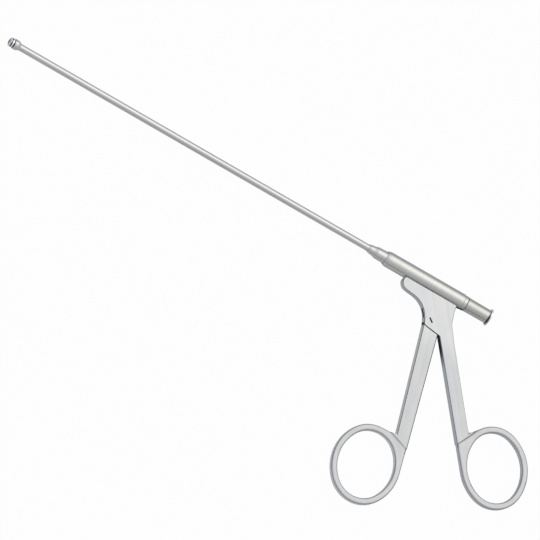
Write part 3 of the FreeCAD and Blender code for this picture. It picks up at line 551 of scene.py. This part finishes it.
def handle_steel(name, brushed_way, ring, inner_side, colours, foot, shade_line=None):
    """Steel of the flat handle, by which way the surface faces.

    A face looks along Z, a wall looks across it and an edge lies between. In the ring, given as
    its middle and its reach, the marks follow circles round the middle: their place is laid on
    one circle in the direction from there, with the distance as its third value. The walls are
    black in the seam, and black with painted shade on the inner side close under it, where the two
    shanks nearly touch; that side is given as 1 or -1, the way along X that it faces. The colours
    are those of the wall, painted lighter than the faces, and of the painted reflections on the edge
    in front and the edge behind. The foot is its line's two ends and its crotch, for a band of
    painted shade. A line of dark painted shade, given by two points, may run along a face.
    """
    wall_ground_and_light, front_edge_reflection, rear_edge_reflection = colours
    ring_middle, ring_reach = ring
    material, tree, shader = new_steel(name)
    place = object_place(tree)
    flat_place = vector_maths(tree, "MULTIPLY", place, (1.0, 1.0, 0.0))
    height = parts_of(tree, place)["Y"]
    facing = parts_of(tree, add_node(tree, "ShaderNodeNewGeometry").outputs["Normal"])
    upright = maths(tree, "ABSOLUTE", facing["Z"])
    face = step_between(tree, upright, *FACE_UPRIGHT)
    wall = step_between(tree, upright, *WALL_UPRIGHT)

    from_middle = offset_from(tree, flat_place, ring_middle)
    distance = vector_maths(tree, "LENGTH", from_middle)
    in_ring = step_between(tree, distance, ring_reach + RING_BORDER, ring_reach)
    heading = scaled(tree, vector_maths(tree, "NORMALIZE", from_middle), MARKS_CIRCLE)
    outward = add_node(tree, "ShaderNodeCombineXYZ", {"Z": distance}).outputs[0]
    circled = vector_maths(tree, "ADD", heading, outward)
    marks_place = blend_vector(tree, in_ring, rotated(tree, place, -brushed_way), circled)
    stretch = blend_vector(tree, in_ring, BRUSHED, RING_POLISHED)

    off_seam = seam_distance(tree, flat_place)
    # Black painted shade on the inner wall near the shanks' apex, under the seam.
    inner = step_between(tree, product(tree, facing["X"], inner_side), *INNER_FACING)
    under_seam = step_between(tree, height, *UNDER_SEAM)
    near_apex = step_between(tree, distance_from(tree, flat_place, APEX), *NEAR_APEX)
    apex_shade = product(tree, inner, under_seam, near_apex)
    wall_seam_and_shade = maths(tree, "MAXIMUM", step_between(tree, off_seam, *SEAM_ON_WALL), apex_shade)
    wall_colour = blend_colour(tree, wall_seam_and_shade, wall_ground_and_light, SEAM_AND_SHADE_BLACK)

    # Painted reflection on the shank's edges: one colour where they face forward, one where backward.
    shank_edge_reflection = blend_colour(tree, step_between(tree, facing["X"], *REAR_FACING), front_edge_reflection, rear_edge_reflection)
    edge_colour = blend_colour(tree, in_ring, shank_edge_reflection, RING_EDGE)

    streaks = noise(tree, vector_maths(tree, "MULTIPLY", marks_place, STREAKED), scale=1.0)
    brushed_face = blend_colour(tree, step_between(tree, streaks, *STREAK_LEVELS), FACE_COOL, FACE_WARM)
    toned_face = scaled(tree, brushed_face, step_between(tree, height, *SHANK_START, 1.0, SHANK_TONE))
    shaded_face = blend_colour(tree, foot_shade(tree, flat_place, *foot), toned_face, FOOT_SHADE)
    face_seam_and_shade = step_between(tree, off_seam, *SEAM_ON_FACE)
    # Where given, a thin line of dark painted shade along a face.
    if shade_line:
        edge_line_shade = step_between(tree, beside_line(tree, place, *shade_line), *BORDER_LINE)
        face_seam_and_shade = maths(tree, "MAXIMUM", face_seam_and_shade, edge_line_shade)
    face_colour = blend_colour(tree, face_seam_and_shade, shaded_face, SEAM_AND_SHADE_BLACK)

    colour = blend_colour(tree, face, blend_colour(tree, wall, edge_colour, wall_colour), face_colour)
    flat = maths(tree, "MAXIMUM", face, wall)
    roughness = maths(tree, "MULTIPLY_ADD", flat, FLATS_ROUGHER, EDGE_ROUGHNESS)
    marked_finish(tree, shader, marks_place, stretch, colour, roughness, contrast=0.14)
    return material


FRAME_WAY = math.radians(-54.0)
FRAME_RING = ((0.0317, -0.0595), 0.0187)
# Wall colour, then the painted reflections on the shank's front and rear edges.
FRAME_COLOURS = ((0.72, 0.745, 0.79), (0.33, 0.34, 0.36), (0.42, 0.42, 0.42))
FRAME_FOOT = ((0.0109, -0.0577), (0.0141, -0.05185), (0.0141, -0.05185))
frame_brushed_and_shade = handle_steel("frame_brushed_and_shade", FRAME_WAY, FRAME_RING, -1.0, FRAME_COLOURS, FRAME_FOOT)
dress("handle_frame", frame_brushed_and_shade)

# Lever. The real one is cut from the same plate as the frame, with its own forged finger ring;
# its thin tongue goes between the frame's cheeks and ends in a ball that moves the slider.
LEVER_WAY = math.radians(-79.2)
LEVER_RING = ((-0.02175, -0.0873), 0.0184)
# The walls' colours are lighter than the faces' steel, the lever's most: painted light on ground steel.
# Wall colour, then the painted reflections on the shank's front and rear edges; the rear one is black.
LEVER_COLOURS = ((0.95, 0.97, 1.0), (0.7, 0.72, 0.75), (0.03, 0.03, 0.032))
LEVER_FOOT = ((-0.015, -0.0687), (-0.00835, -0.0712), (-0.015, -0.0687))
# Two points of a line of dark painted shade along the lever's rear edge.
LEVER_REAR_SHADE_LINE = ((-0.0177, -0.0213), (-0.00835, -0.0712))
lever_brushed_and_shade = handle_steel("lever_brushed_and_shade", LEVER_WAY, LEVER_RING, 1.0, LEVER_COLOURS, LEVER_FOOT,
                             LEVER_REAR_SHADE_LINE)
dress("lever", lever_brushed_and_shade)

# Pivot bush. The real one is a bronze sleeve, clamped between the cheeks, on which the lever turns.
# It hardly shows.
dress("pivot_bush", bearing_bronze)

# Pivot screw. The real one is a slotted steel screw, ground flush with both cheeks after it was
# driven in, so that only its dark slot shows.
# Below this height the slot is painted black as shade.
SLOT_TOP = (0.0017, 0.00185)


def screw_steel():
    """The frame's brushed finish on top, and black painted shade down in the slot."""
    material, tree, shader = new_steel("screw_ground_and_shade")
    place = object_place(tree)
    top = step_between(tree, maths(tree, "ABSOLUTE", parts_of(tree, place)["Z"]), *SLOT_TOP)
    colour = blend_colour(tree, top, SEAM_AND_SHADE_BLACK, FACE_COOL)
    brushed = rotated(tree, place, -FRAME_WAY)
    marked_finish(tree, shader, brushed, BRUSHED, colour, roughness=0.3, contrast=0.12)
    return material


dress("pivot_screw", screw_steel())

# Floor. A plain pale sheet that the object lies on. The camera sees it nearly white, and so do
# the reflections in part; the rest is its own pale grey, which keeps the object's shadow.
FLOOR_HALF = 5.0
FLOOR_GREY = (0.45, 0.46, 0.48, 1.0)
WHITE = (1.0, 1.0, 1.0, 1.0)
SEEN_WHITE = 0.98
REFLECTED_WHITE = 0.35
floor_white = bpy.data.materials.new("floor_white")
floor_white.use_nodes = True
tree = floor_white.node_tree
tree.nodes.clear()
rays = add_node(tree, "ShaderNodeLightPath").outputs
grey = add_node(tree, "ShaderNodeBsdfDiffuse", {"Color": FLOOR_GREY}).outputs[0]
white = add_node(tree, "ShaderNodeEmission", {"Color": WHITE, "Strength": 1.0}).outputs[0]
mirrored = maths(tree, "MAXIMUM", rays["Is Glossy Ray"], rays["Is Transmission Ray"])
reflected_share = product(tree, mirrored, REFLECTED_WHITE)
white_share = maths(tree, "MULTIPLY_ADD", rays["Is Camera Ray"], SEEN_WHITE, reflected_share)
mixed = add_node(tree, "ShaderNodeMixShader", {0: white_share, 1: grey, 2: white}).outputs[0]
add_node(tree, "ShaderNodeOutputMaterial", {"Surface": mixed})
floor_z = cad_box[0].z
corners = [(x * FLOOR_HALF, y * FLOOR_HALF, floor_z) for x, y in ((-1, -1), (1, -1), (1, 1), (-1, 1))]
floor = new_object("floor", corners, [(0, 1, 2, 3)], floor_white)

# Light. A large soft studio light stands above and a little behind the object. The room falls off
# to a dim warm horizon, and to a dark corner on the tip's side. All of it is in the world, as
# a level and a tint for each cosine of the angle off the light's middle, dimmed to the horizon.
KEY_WAY = Vector((0.2234, 0.4576, 0.8606)).normalized()
KEY_LEVELS = [
    (-1.0, 0.5, (0.99, 1.0, 1.02)),
    (0.1, 0.56, (0.98, 0.99, 1.03)),
    (0.5, 0.65, (0.97, 0.985, 1.05)),
    (0.707, 0.8, (0.965, 0.985, 1.06)),
    (0.82, 0.97, (0.985, 0.995, 1.02)),
    (0.9, 1.14, (1.0, 0.998, 0.99)),
    (0.966, 1.34, (1.0, 0.997, 0.975)),
    (1.0, 1.55, (1.0, 0.995, 0.955)),
]
PEAK_LEVEL = 1.55
HORIZON = (0.33, 0.32, 0.285)
HORIZON_HEIGHTS = (0.0, 0.42)
DARK_CORNER = 0.2
CORNER_WAY = (-0.97, -0.85)
world = bpy.data.worlds.new("studio")
bpy.context.scene.world = world
world.use_nodes = True
tree = world.node_tree
tree.nodes.clear()
way = add_node(tree, "ShaderNodeTexCoord").outputs["Generated"]
toward = vector_maths(tree, "DOT_PRODUCT", way, KEY_WAY)
ramp = add_node(tree, "ShaderNodeValToRGB", {"Fac": maths(tree, "MULTIPLY_ADD", toward, 0.5, 0.5)})
elements = ramp.color_ramp.elements
while len(elements) < len(KEY_LEVELS):
    elements.new(0.5)
for element, (dot, level, tint) in zip(elements, KEY_LEVELS):
    element.position = (dot + 1) / 2
    element.color = [level / PEAK_LEVEL * part for part in tint] + [1.0]
lift = step_between(tree, parts_of(tree, way)["Z"], *HORIZON_HEIGHTS)
sky = blend_colour(tree, lift, [part / PEAK_LEVEL for part in HORIZON], ramp.outputs[0])
strength = step_between(tree, parts_of(tree, way)["X"], *CORNER_WAY, DARK_CORNER * PEAK_LEVEL, PEAK_LEVEL)
light = add_node(tree, "ShaderNodeBackground", {"Color": sky, "Strength": strength}).outputs[0]
add_node(tree, "ShaderNodeOutputWorld", {"Surface": light})

# Camera. It looks down on the flat side from the rings' side and a little from the tip, through a
# very long lens, so that the object shows nearly without perspective.
SENSOR = 36.0
LENS = 1000.0
PHOTO_WIDTH = 0.2376
LOOKS_AT = Vector((-0.09898, -0.03143, -0.0001))
NEAREST = 0.1
FARTHEST = 100.0
right = Vector((0.8450, 0.4188, 0.3326)).normalized()
back = Vector((-0.2234, -0.2886, 0.931)).normalized()
up = back.cross(right).normalized()
right = up.cross(back)
camera_data = bpy.data.cameras.new("camera")
camera_data.lens = LENS
camera_data.sensor_width = SENSOR
camera_data.clip_start = NEAREST
camera_data.clip_end = FARTHEST
camera = bpy.data.objects.new("camera", camera_data)
bpy.context.scene.collection.objects.link(camera)
turn = Matrix((right, up, back)).transposed().to_4x4()
camera.matrix_world = Matrix.Translation(LOOKS_AT + back * (PHOTO_WIDTH / SENSOR * LENS)) @ turn
bpy.context.scene.camera = camera
bpy.context.scene.view_settings.view_transform = "Standard"
